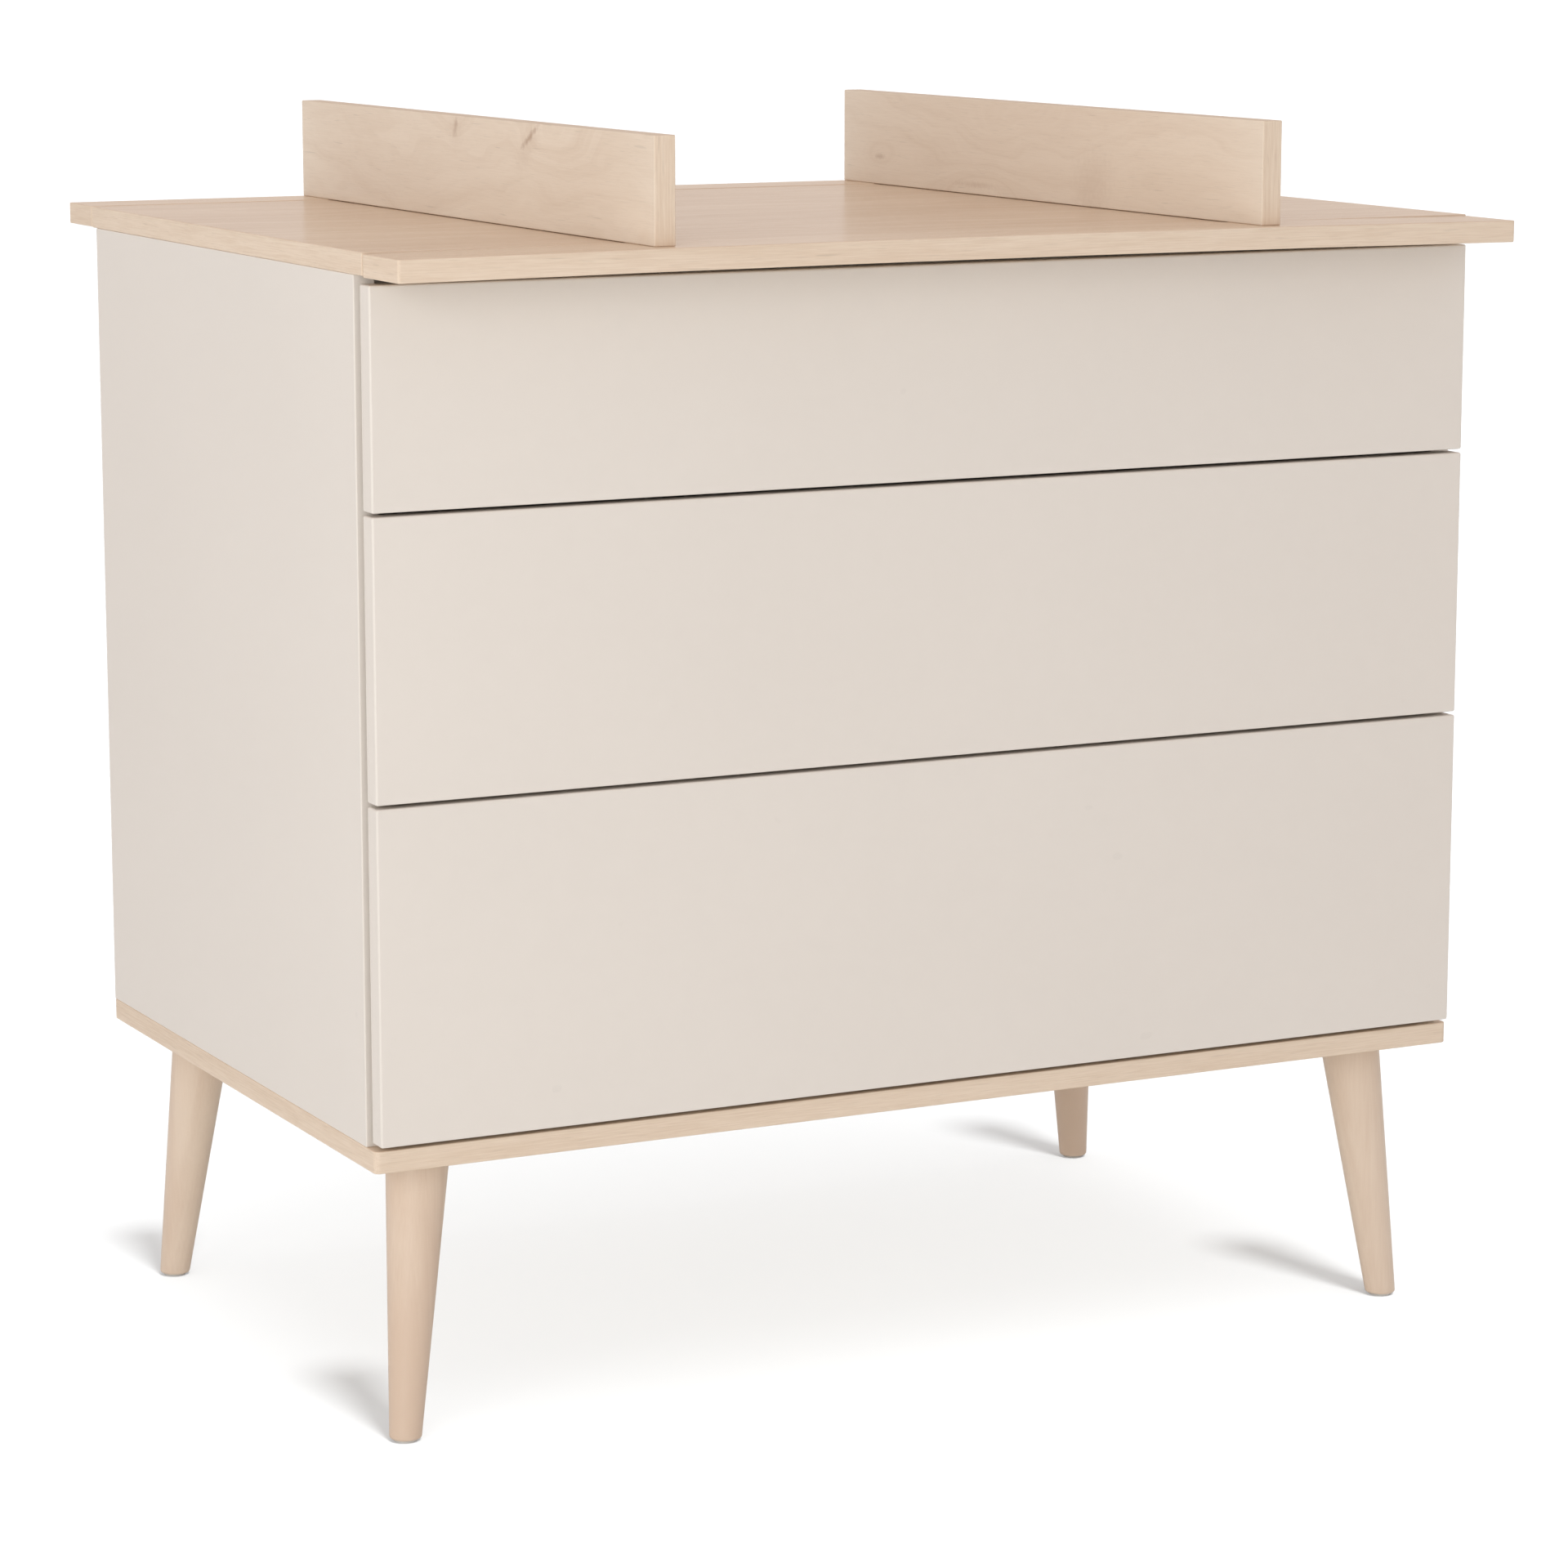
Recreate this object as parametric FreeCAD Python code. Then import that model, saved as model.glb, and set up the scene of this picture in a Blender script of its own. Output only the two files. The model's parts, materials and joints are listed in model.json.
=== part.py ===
"""Changing table: a three-drawer dresser on splayed legs, with a deepened top and two mat boards.

Millimetres, +Z up. The origin is on the floor, under the middle of the top's outline.
The front faces -Y and the left-hand side is -X. One STEP file per sub-part goes to parts/.
"""
import FreeCAD, Part
import math
import os

Vector = FreeCAD.Vector

# ---------------------------------------------------------------- driving dimensions
WIDTH = 1006.0               # over the side panels, the base and the top
TOP_DEPTH = 757.0            # front edge of the front strip to back edge of the rear strip
PANEL_DEPTH = 596.0          # side panels, front edge to back edge
FRONT_REACH = 90.0           # front strip's front edge ahead of the side panels
BOARD_LEAD = 18.0            # main top and base ahead of the side panels
TOP_TAIL = 10.0              # main top behind the side panels
BASE_TAIL = 2.0              # base behind the side panels
BOARD = 18.0                 # thickness of every structural board
LEG_HEIGHT = 232.0           # floor to underside of the base
PANEL_HEIGHT = 684.0         # base to main top
STRIP_JOINT = 0.6            # open joint between the main top and each strip
STRIP_DROOP = 1.6            # the bowed front strip's ends, below its height at the uprights
UPRIGHT_LIFT = 0.4           # uprights and strips stand this far above the main top there
UPRIGHT_HEIGHT = 85.0
UPRIGHT_CLEAR_WIDTH = 530.0  # between the two uprights
UPRIGHT_SETBACK = 18.0       # upright's front end behind the front strip's front edge
EDGE = 1.0                   # eased edges of veneered and lacquered boards
BASE_CORNER = 5.0            # rounded vertical corners of the base
STRIP_CORNER = 2.5           # rounded vertical corners of the two strips
OVERCUT = 1.0                # how far a cutting shape runs past the face it cuts
TOUCH = 0.01                 # how near counts as touching, when edges are picked

FRONT_WIDTH = 1000.0         # drawer fronts
FRONT_THICK = 19.0
FRONT_EDGE = 1.8             # eased edges of the fronts
FRONT_STANDOFF = 5.0         # fronts stand off the panels, for the push latches
FRONT_GAP = 3.0              # between neighbouring fronts
FRONT_BASE_GAP = 4.0         # lowest front above the base
FRONT_HEIGHTS = {"lower": 269.0, "middle": 224.0, "upper": 174.0}
BOX_HEIGHTS = {"lower": 200.0, "middle": 165.0, "upper": 120.0}
BOX_RISE = 16.0              # drawer box bottom above its front's bottom edge
BOX_SIDE = 12.0
BOX_DEPTH = 500.0
BOX_EDGE = 2.0               # eased upper edges of the box sides
BACK_DROP = 6.0              # box back below the upper edges of the box sides
BOTTOM_THICK = 6.0
BOTTOM_RISE = 10.0           # drawer bottom above the lower edge of the box sides
BOTTOM_TONGUE = 5.5          # drawer bottom into the grooves
GROOVE_PLAY = 0.2

RUNNER_WIDTH = 12.7
RUNNER_LENGTH = 500.0
RUNNER_SHEET = 1.2
RUNNER_MEMBERS = {           # web depth and flange reach from the panel, half height, lip
    "cabinet_rail": (0.0, 9.6, 22.5, 4.0),
    "middle_rail": (3.0, 11.0, 17.4, 4.0),
    "drawer_rail": (RUNNER_WIDTH, 5.6, 12.3, 3.0),
}
RUNNER_RISE = 40.0           # runner's centre line above the box bottom
RUNNER_SETBACK = 3.0         # runner's front end behind the panel's front edge

LATCH_WIDTH = 10.0
LATCH_HEIGHT = 18.0
LATCH_LENGTH = 66.0
LATCH_SETBACK = 4.0
LATCH_RISE = 38.0            # push latch above the runner's centre line
PIN_R = 3.0
PIN_HEAD_R = 4.4
PIN_HEAD_LENGTH = 2.7
PIN_LENGTH = 50.0
PIN_EDGE = 0.8               # eased rim of the pin's soft tip
PIN_PLAY = 0.08              # radial running clearance of a latch pin
PIN_TRAVEL = 3.0
MOVING_GAP = 0.3             # between pieces that move against each other

LEG_INSET = 61.0             # leg's top centre inside the base's edges
LEG_SPLAY = 23.5             # foot further out than the top, along X and along Y
LEG_TOP_R = 26.0
LEG_FOOT_R = 13.0
LEG_FOOT_EDGE = 2.5
LEG_SPARE = 12.0             # extra length at both ends before a leg is sawn level
GLIDE_R = 9.5
GLIDE_THICK = 2.0

RAIL_DEPTH = 90.0            # top rails, front to back
RAIL_SETBACK = 22.0          # front rail behind the panels' front edges
RAIL_EDGE = 0.8              # eased edges of the rails
BACK_THICK = 3.0
BACK_INSET = 10.0            # back panel ahead of the panels' back edges
BACK_TONGUE = 6.0

SCREW_R = 2.4
SCREW_HEAD_R = 4.6
SCREW_HEAD_DEPTH = 2.8
SCREW_PLAY = 0.05            # between screws or bolts and their holes
RECESS_ARM = 2.2             # cross recess: half length, half width and depth of its arms
RECESS_HALF = 0.45
RECESS_DEPTH = 1.4
BASE_SCREW = 50.0            # screw lengths
TOP_SCREW = 30.0
UPRIGHT_SCREW = 48.0
BASE_SCREW_SHARES = (0.2, 0.5, 0.8)             # places along the panels' depth
TOP_SCREW_SHARES = (-0.85, -0.3, 0.3, 0.85)     # places along half the inner width
UPRIGHT_SCREW_INSET = 16.0   # from the strips' joints and from the uprights' ends

HANGER_R = 4.0
HANGER_IN_LEG = 42.0
HANGER_IN_BASE = 12.0
INSERT_R = 6.0
INSERT_LENGTH = 13.0
INSERT_SPARE = 4.0           # extra length before an insert is sawn flush

PAD_R = 7.0
PAD_SHARES = (0.2, 0.8)      # pads on the main top, as shares of its depth
BRACKET_X = 300.0            # wall brackets either side of the middle
BRACKET_WIDTH = 40.0
BRACKET_SHEET = 2.5
BRACKET_FOOT = 38.0
BRACKET_DROP = 44.0
BRACKET_HOLE_R = 3.0
BRACKET_HOLE_DROP = 26.0     # wall hole below the strip's underside

# ---------------------------------------------------------------- derived places
HALF_WIDTH = WIDTH / 2
TOP_FRONT = -TOP_DEPTH / 2
TOP_BACK = TOP_DEPTH / 2
PANEL_FRONT = TOP_FRONT + FRONT_REACH
PANEL_BACK = PANEL_FRONT + PANEL_DEPTH
PANEL_INNER = HALF_WIDTH - BOARD
BASE_TOP = LEG_HEIGHT + BOARD
TOP_UNDER = BASE_TOP + PANEL_HEIGHT
TOP_SURFACE = TOP_UNDER + BOARD
BOARD_FRONT = PANEL_FRONT - BOARD_LEAD
MAIN_BACK = PANEL_BACK + TOP_TAIL
BASE_BACK = PANEL_BACK + BASE_TAIL
UPRIGHT_UNDER = TOP_SURFACE + UPRIGHT_LIFT
STRIP_UNDER = UPRIGHT_UNDER - BOARD
UPRIGHT_FRONT = TOP_FRONT + UPRIGHT_SETBACK
UPRIGHT_MIDDLE = UPRIGHT_CLEAR_WIDTH / 2 + BOARD / 2
STRIP_BOW_R = (HALF_WIDTH ** 2 - UPRIGHT_MIDDLE ** 2) / (2 * STRIP_DROOP)
FRONT_BACK_FACE = PANEL_FRONT - FRONT_STANDOFF
FRONT_FACE = FRONT_BACK_FACE - FRONT_THICK
BOX_HALF = PANEL_INNER - RUNNER_WIDTH
BOX_BACK = FRONT_BACK_FACE + BOX_DEPTH
RAIL_UNDER = TOP_UNDER - BOARD
SIDES = {"left": -1, "right": 1}


# ---------------------------------------------------------------- building blocks
def save(node, *solids):
    """Write one sub-part; several solids make a group of separate pieces."""
    shape = solids[0] if len(solids) == 1 else Part.makeCompound(list(solids))
    if not shape.isValid():
        raise ValueError(node + " is not a valid shape")
    shape.exportStep(os.path.join("parts", node + ".step"))


def block(x, y, z):
    """Plain box between (low, high) pairs."""
    size = (x[1] - x[0], y[1] - y[0], z[1] - z[0])
    return Part.makeBox(*size, Vector(x[0], y[0], z[0]))


def is_upright(edge):
    """True for an edge that climbs more than it runs sideways."""
    run = edge.Vertexes[-1].Point - edge.Vertexes[0].Point
    return abs(run.z) > abs(run.x) + abs(run.y)


def round_corners(shape, corner, edge):
    """Shape with rounded upright corners, and eased edges round its faces."""
    shape = shape.makeFillet(corner, [e for e in shape.Edges if is_upright(e)])
    rims = [e for e in shape.Edges if not is_upright(e)]
    return shape.makeFillet(edge, rims)


def board(x, y, z, edge=EDGE, corner=None):
    """Board with eased edges and, if asked, larger rounded vertical corners."""
    shape = block(x, y, z)
    if corner is None:
        return shape.makeFillet(edge, shape.Edges)
    return round_corners(shape, corner, edge)


def span(first, second):
    """The two numbers as a (low, high) pair."""
    return (min(first, second), max(first, second))


def around(middle, half):
    """(low, high) pair about a middle."""
    return (middle - half, middle + half)


def rod(start, end, radius):
    """Cylinder from one point to another."""
    along = end - start
    return Part.makeCylinder(radius, along.Length, start, along)


def pin(x, y, z, radius, length):
    """Cylinder that runs backwards from a point."""
    return Part.makeCylinder(radius, length, Vector(x, y, z), Vector(0, 1, 0))


def screw_body(x, y, z, length, play=0.0):
    """Countersunk screw pointing up, its head flush with a face at height z."""
    neck = Vector(x, y, z + SCREW_HEAD_DEPTH)
    head = Part.makeCone(SCREW_HEAD_R + play, SCREW_R + play, SCREW_HEAD_DEPTH, Vector(x, y, z))
    shank = Part.makeCylinder(SCREW_R + play, length - SCREW_HEAD_DEPTH, neck)
    return head.fuse(shank).removeSplitter()


def wood_screw(x, y, z, length):
    """That screw, with a cross recess in its head."""
    depth = (z - OVERCUT, z + RECESS_DEPTH)
    arm_x = block(around(x, RECESS_ARM), around(y, RECESS_HALF), depth)
    arm_y = block(around(x, RECESS_HALF), around(y, RECESS_ARM), depth)
    return screw_body(x, y, z, length).cut(arm_x.fuse(arm_y))


def screw_hole(x, y, z, length):
    """Hole for that screw, a hair larger all round, a little deeper and open below."""
    mouth = Part.makeCylinder(SCREW_HEAD_R + SCREW_PLAY, OVERCUT, Vector(x, y, z - OVERCUT))
    return screw_body(x, y, z, length + OVERCUT, SCREW_PLAY).fuse(mouth)


def drill(shape, holes):
    for hole in holes:
        shape = shape.cut(hole)
    return shape


# ---------------------------------------------------------------- fixings that cut holes in the boards
base_screw_places = [(side * (HALF_WIDTH - BOARD / 2), PANEL_FRONT + PANEL_DEPTH * share)
                     for side in SIDES.values() for share in BASE_SCREW_SHARES]

front_rail_y = (PANEL_FRONT + RAIL_SETBACK, PANEL_FRONT + RAIL_SETBACK + RAIL_DEPTH)
back_face = PANEL_BACK - BACK_INSET - BACK_THICK
rear_rail_y = (back_face - RAIL_DEPTH, back_face)
top_screw_places = [(PANEL_INNER * share, sum(rail_y) / 2)
                    for rail_y in (front_rail_y, rear_rail_y) for share in TOP_SCREW_SHARES]

strip_screw_ys = (UPRIGHT_FRONT + UPRIGHT_SCREW_INSET, BOARD_FRONT - UPRIGHT_SCREW_INSET,
                  MAIN_BACK + UPRIGHT_SCREW_INSET, TOP_BACK - UPRIGHT_SCREW_INSET)


def save_screws():
    save("base_screws", *[wood_screw(x, y, LEG_HEIGHT, BASE_SCREW) for x, y in base_screw_places])
    save("top_screws", *[wood_screw(x, y, RAIL_UNDER, TOP_SCREW) for x, y in top_screw_places])
    screws = []
    for side in SIDES.values():
        x = side * UPRIGHT_MIDDLE
        screws += [wood_screw(x, y, STRIP_UNDER, UPRIGHT_SCREW) for y in strip_screw_ys]
    save("upright_screws", *screws)


# ---------------------------------------------------------------- legs
LEG_PLACES = {"front_left": (-1, -1), "front_right": (1, -1), "rear_left": (-1, 1), "rear_right": (1, 1)}


def leg_axis(side, end):
    """Top centre and foot centre of a leg; side is -1 or 1 along X, end along Y."""
    base_edge = BOARD_FRONT if end < 0 else BASE_BACK
    top = Vector(side * (HALF_WIDTH - LEG_INSET), base_edge - end * LEG_INSET, LEG_HEIGHT)
    foot = Vector(top.x + side * LEG_SPLAY, top.y + end * LEG_SPLAY, GLIDE_THICK)
    return top, foot


def leg_direction(side, end):
    top, foot = leg_axis(side, end)
    return (top - foot).normalize()


def hanger_bolt(side, end, radius):
    top, _ = leg_axis(side, end)
    up = leg_direction(side, end)
    return rod(top - up * HANGER_IN_LEG, top + up * HANGER_IN_BASE, radius)


def leg(side, end):
    """Turned taper on a slant, sawn level at both ends and eased round the foot."""
    top, foot = leg_axis(side, end)
    up = leg_direction(side, end)
    run = (top - foot).Length
    growth = LEG_SPARE * (LEG_TOP_R - LEG_FOOT_R) / run
    taper = Part.makeCone(LEG_FOOT_R - growth, LEG_TOP_R + growth, run + 2 * LEG_SPARE,
                          foot - up * LEG_SPARE, up)
    reach = LEG_TOP_R + LEG_SPLAY + LEG_SPARE
    slab = block(around(foot.x, reach), around(foot.y, reach), (GLIDE_THICK, LEG_HEIGHT))
    shape = taper.common(slab)
    rim = [e for e in shape.Edges if e.BoundBox.ZMax < GLIDE_THICK + TOUCH]
    shape = shape.makeFillet(LEG_FOOT_EDGE, rim)
    return shape.cut(hanger_bolt(side, end, HANGER_R + SCREW_PLAY))


def insert_barrel(side, end, radius, extra=0.0):
    """Cylinder on the leg's slant that ends inside the base."""
    top, _ = leg_axis(side, end)
    up = leg_direction(side, end)
    return rod(top - up * (INSERT_SPARE + extra), top + up * (INSERT_LENGTH + extra), radius)


def insert_hole(side, end):
    """The part of that cylinder inside the base, flush with the underside."""
    top, _ = leg_axis(side, end)
    base_slab = block(around(top.x, LEG_TOP_R), around(top.y, LEG_TOP_R), (LEG_HEIGHT, BASE_TOP))
    return insert_barrel(side, end, INSERT_R).common(base_slab)


def leg_insert(side, end):
    """Insert that fills its hole and takes the leg's bolt."""
    bore = insert_barrel(side, end, HANGER_R + SCREW_PLAY, OVERCUT)
    return insert_hole(side, end).cut(bore)


def save_legs():
    for name, (side, end) in LEG_PLACES.items():
        save(name + "_leg", leg(side, end))
    save("leg_bolts", *[hanger_bolt(*place, HANGER_R) for place in LEG_PLACES.values()])
    save("leg_inserts", *[leg_insert(*place) for place in LEG_PLACES.values()])
    glides = []
    for place in LEG_PLACES.values():
        _, foot = leg_axis(*place)
        glides.append(Part.makeCylinder(GLIDE_R, GLIDE_THICK, Vector(foot.x, foot.y, 0)))
    save("leg_glides", *glides)


# ---------------------------------------------------------------- cabinet
def side_panel(side):
    """Lacquered end panel, grooved inside for the back panel and drilled for the base screws."""
    across = span(side * PANEL_INNER, side * HALF_WIDTH)
    shape = board(across, (PANEL_FRONT, PANEL_BACK), (BASE_TOP, TOP_UNDER))
    groove_depth = BACK_TONGUE + GROOVE_PLAY
    groove_x = span(side * (PANEL_INNER - OVERCUT), side * (PANEL_INNER + groove_depth))
    groove_y = (back_face - GROOVE_PLAY / 2, PANEL_BACK - BACK_INSET + GROOVE_PLAY / 2)
    shape = shape.cut(block(groove_x, groove_y, (BASE_TOP - OVERCUT, TOP_UNDER + OVERCUT)))
    places = [place for place in base_screw_places if place[0] * side > 0]
    return drill(shape, [screw_hole(x, y, LEG_HEIGHT, BASE_SCREW) for x, y in places])


def base_board():
    shape = board(around(0, HALF_WIDTH), (BOARD_FRONT, BASE_BACK), (LEG_HEIGHT, BASE_TOP),
                  corner=BASE_CORNER)
    shape = drill(shape, [screw_hole(x, y, LEG_HEIGHT, BASE_SCREW) for x, y in base_screw_places])
    return drill(shape, [insert_hole(*place) for place in LEG_PLACES.values()])


def rail(rail_y):
    """Flat stretcher between the side panels, screwed up into the main top."""
    shape = board(around(0, PANEL_INNER), rail_y, (RAIL_UNDER, TOP_UNDER), edge=RAIL_EDGE)
    return drill(shape, [screw_hole(x, y, RAIL_UNDER, TOP_SCREW) for x, y in top_screw_places])


def save_cabinet():
    for name, side in SIDES.items():
        save(name + "_side_panel", side_panel(side))
    save("base_board", base_board())
    save("front_top_rail", rail(front_rail_y))
    save("rear_top_rail", rail(rear_rail_y))
    back_y = (back_face, PANEL_BACK - BACK_INSET)
    save("back_panel", block(around(0, PANEL_INNER + BACK_TONGUE), back_y, (BASE_TOP, TOP_UNDER)))
    main = board(around(0, HALF_WIDTH), (BOARD_FRONT, MAIN_BACK), (TOP_UNDER, TOP_SURFACE))
    save("main_top", drill(main, [screw_hole(x, y, RAIL_UNDER, TOP_SCREW) for x, y in top_screw_places]))


# ---------------------------------------------------------------- changing extension
def drill_for_uprights(shape):
    for side in SIDES.values():
        x = side * UPRIGHT_MIDDLE
        shape = drill(shape, [screw_hole(x, y, STRIP_UNDER, UPRIGHT_SCREW) for y in strip_screw_ys])
    return shape


def front_strip():
    """Strip across the whole width, slightly bowed: level at the uprights, its ends drooping."""
    crown = UPRIGHT_UNDER + UPRIGHT_MIDDLE ** 2 / (2 * STRIP_BOW_R)
    centre = Vector(0, 0, crown - STRIP_BOW_R)
    half_turn = math.degrees(math.asin(HALF_WIDTH / STRIP_BOW_R))
    back = BOARD_FRONT - STRIP_JOINT
    outline = ((TOP_FRONT, crown - BOARD), (back, crown - BOARD), (back, crown), (TOP_FRONT, crown))
    corners = [Vector(0, y, z) for y, z in outline]
    section = Part.Face(Part.makePolygon(corners + corners[:1]))
    section.rotate(centre, Vector(0, 1, 0), -half_turn)
    shape = section.revolve(centre, Vector(0, 1, 0), 2 * half_turn)
    return round_corners(shape, STRIP_CORNER, EDGE)


def rear_strip():
    """Straight strip across the whole width."""
    return board(around(0, HALF_WIDTH), (MAIN_BACK + STRIP_JOINT, TOP_BACK), (STRIP_UNDER, UPRIGHT_UNDER),
                 corner=STRIP_CORNER)


def upright(side, bowed_strip):
    """Low board on edge that keeps the changing mat in place; it stands on both strips."""
    middle = side * UPRIGHT_MIDDLE
    shape = board(around(middle, BOARD / 2), (UPRIGHT_FRONT, TOP_BACK),
                  (UPRIGHT_UNDER, UPRIGHT_UNDER + UPRIGHT_HEIGHT))
    return drill_for_uprights(shape.cut(bowed_strip))


def upright_pads():
    """Thin felt discs that fill the gap between the uprights and the main top."""
    pads = []
    for side in SIDES.values():
        for share in PAD_SHARES:
            y = BOARD_FRONT + (MAIN_BACK - BOARD_FRONT) * share
            seat = Vector(side * UPRIGHT_MIDDLE, y, TOP_SURFACE)
            pads.append(Part.makeCylinder(PAD_R, UPRIGHT_LIFT, seat))
    return pads


def wall_bracket(x):
    """Steel angle under the rear strip; its back flange takes the wall screw."""
    under = STRIP_UNDER
    across = around(x, BRACKET_WIDTH / 2)
    flange_front = TOP_BACK - BRACKET_SHEET
    foot = block(across, (TOP_BACK - BRACKET_FOOT, TOP_BACK), (under - BRACKET_SHEET, under))
    flange = block(across, (flange_front, TOP_BACK), (under - BRACKET_DROP, under))
    hole = pin(x, flange_front - OVERCUT, under - BRACKET_HOLE_DROP, BRACKET_HOLE_R,
               BRACKET_SHEET + 2 * OVERCUT)
    return foot.fuse(flange).removeSplitter().cut(hole)


def save_extension():
    bowed_strip = front_strip()
    save("front_extension_strip", drill_for_uprights(bowed_strip))
    save("rear_extension_strip", drill_for_uprights(rear_strip()))
    for name, side in SIDES.items():
        save(name + "_upright", upright(side, bowed_strip))
    save("upright_pads", *upright_pads())
    save("wall_brackets", wall_bracket(-BRACKET_X), wall_bracket(BRACKET_X))


# ---------------------------------------------------------------- drawers, runners and push latches
def channel(side, web, reach, half_height, lip):
    """Bent-sheet channel along Y. web and reach are depths from the panel's inner face.

    The web stands at the depth web, the flanges run from there to the depth reach and
    turn inwards there by lip. A web deeper than reach makes a channel that opens outwards.
    """
    t = RUNNER_SHEET
    turn = 1 if reach > web else -1
    outline = [(web, -half_height), (reach, -half_height), (reach, -half_height + lip),
               (reach - turn * t, -half_height + lip), (reach - turn * t, -half_height + t),
               (web + turn * t, -half_height + t)]
    mirrored = [(depth, -height) for depth, height in reversed(outline)]
    start = PANEL_FRONT + RUNNER_SETBACK
    points = [Vector(side * (PANEL_INNER - depth), start, height) for depth, height in outline + mirrored]
    face = Part.Face(Part.makePolygon(points + points[:1]))
    return face.extrude(Vector(0, RUNNER_LENGTH, 0))


def save_runner(drawer, name, side, height):
    """Three nested members of one telescopic runner: cabinet, middle and drawer member."""
    for member, profile in RUNNER_MEMBERS.items():
        shape = channel(side, *profile)
        shape.translate(Vector(0, 0, height))
        save("_".join((drawer, name, member)), shape)


def save_drawer(drawer, front_low, front_high, box_height):
    """Overlay front with a box behind it: two sides, a back and a grooved-in bottom."""
    front = board(around(0, FRONT_WIDTH / 2), (FRONT_FACE, FRONT_BACK_FACE), (front_low, front_high),
                  edge=FRONT_EDGE)
    save(drawer + "_drawer_front", front)
    box_low = front_low + BOX_RISE
    box_high = box_low + box_height
    inner = BOX_HALF - BOX_SIDE
    bottom_z = (box_low + BOTTOM_RISE, box_low + BOTTOM_RISE + BOTTOM_THICK)
    for name, side in SIDES.items():
        shape = block(span(side * inner, side * BOX_HALF), (FRONT_BACK_FACE, BOX_BACK), (box_low, box_high))
        upper_edges = [e for e in shape.Edges if e.BoundBox.ZMin > box_high - TOUCH]
        long_edges = [e for e in upper_edges if e.BoundBox.YLength > BOX_SIDE]
        shape = shape.makeFillet(BOX_EDGE, long_edges)
        groove_depth = BOTTOM_TONGUE + GROOVE_PLAY
        groove_x = span(side * (inner - OVERCUT), side * (inner + groove_depth))
        groove_y = (FRONT_BACK_FACE - OVERCUT, BOX_BACK + OVERCUT)
        groove_z = (bottom_z[0] - GROOVE_PLAY / 2, bottom_z[1] + GROOVE_PLAY / 2)
        save(drawer + "_drawer_" + name + "_side", shape.cut(block(groove_x, groove_y, groove_z)))
    back_y = (BOX_BACK - BOX_SIDE, BOX_BACK)
    save(drawer + "_drawer_back", block(around(0, inner), back_y, (bottom_z[1], box_high - BACK_DROP)))
    bottom = block(around(0, inner + BOTTOM_TONGUE), (FRONT_BACK_FACE, BOX_BACK), bottom_z)
    save(drawer + "_drawer_bottom", bottom)


def latch_housing(side, height):
    """Push latch body on the panel's inner face, bored from the front for its pin."""
    across = span(side * (PANEL_INNER - LATCH_WIDTH), side * PANEL_INNER)
    front = PANEL_FRONT + LATCH_SETBACK
    shape = board(across, (front, front + LATCH_LENGTH), around(height, LATCH_HEIGHT / 2))
    depth = PIN_LENGTH + PIN_TRAVEL + MOVING_GAP
    bore = pin(sum(across) / 2, front - OVERCUT, height, PIN_R + PIN_PLAY, depth)
    return shape.cut(bore)


def latch_pin(side, height):
    """Round pin with a broad soft tip, just clear of the back of the drawer front."""
    centre = side * (PANEL_INNER - LATCH_WIDTH / 2)
    tip = FRONT_BACK_FACE + MOVING_GAP
    head = pin(centre, tip, height, PIN_HEAD_R, PIN_HEAD_LENGTH)
    head = head.makeFillet(PIN_EDGE, [e for e in head.Edges if e.BoundBox.YMax < tip + TOUCH])
    shank = pin(centre, tip + PIN_HEAD_LENGTH, height, PIN_R, PIN_LENGTH)
    return head.fuse(shank).removeSplitter()


def save_drawers():
    housings = []
    front_low = BASE_TOP + FRONT_BASE_GAP
    for drawer, front_height in FRONT_HEIGHTS.items():
        save_drawer(drawer, front_low, front_low + front_height, BOX_HEIGHTS[drawer])
        runner_height = front_low + BOX_RISE + RUNNER_RISE
        latch_height = runner_height + LATCH_RISE
        for name, side in SIDES.items():
            save_runner(drawer, name, side, runner_height)
            housings.append(latch_housing(side, latch_height))
        save(drawer + "_latch_pins", *[latch_pin(side, latch_height) for side in SIDES.values()])
        front_low += front_height + FRONT_GAP
    save("latch_housings", *housings)


os.makedirs("parts", exist_ok=True)
save_cabinet()
save_extension()
save_legs()
save_drawers()
save_screws()
print("top surface", TOP_SURFACE, "overall height", UPRIGHT_UNDER + UPRIGHT_HEIGHT)
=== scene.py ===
"""Looks of the changing table: materials, small hardware, floor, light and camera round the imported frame.

Metres, +Z up, the front towards -Y. The boards stay the CAD nodes and get procedural wood, lacquer and
board materials; the runners get their ball rows, cages and screws here.
"""

import json
import math

import bmesh
import bpy
from mathutils import Matrix, Vector


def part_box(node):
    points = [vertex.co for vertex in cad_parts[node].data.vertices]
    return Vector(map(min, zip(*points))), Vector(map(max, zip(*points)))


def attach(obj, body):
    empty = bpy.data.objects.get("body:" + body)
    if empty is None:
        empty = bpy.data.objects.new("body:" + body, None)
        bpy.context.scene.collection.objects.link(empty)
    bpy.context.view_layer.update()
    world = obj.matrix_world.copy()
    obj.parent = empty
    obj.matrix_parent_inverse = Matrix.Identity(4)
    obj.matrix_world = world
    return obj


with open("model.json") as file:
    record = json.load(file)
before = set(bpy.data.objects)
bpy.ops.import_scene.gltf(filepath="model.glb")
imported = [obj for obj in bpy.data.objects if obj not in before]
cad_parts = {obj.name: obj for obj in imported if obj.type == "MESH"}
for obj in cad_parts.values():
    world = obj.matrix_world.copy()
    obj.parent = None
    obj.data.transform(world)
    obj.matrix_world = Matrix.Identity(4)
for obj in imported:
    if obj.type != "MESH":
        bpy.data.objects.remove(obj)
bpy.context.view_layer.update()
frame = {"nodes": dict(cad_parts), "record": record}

# ---------------------------------------------------------------- colours, linear RGB
LACQUER = (0.722, 0.664, 0.600)
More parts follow.
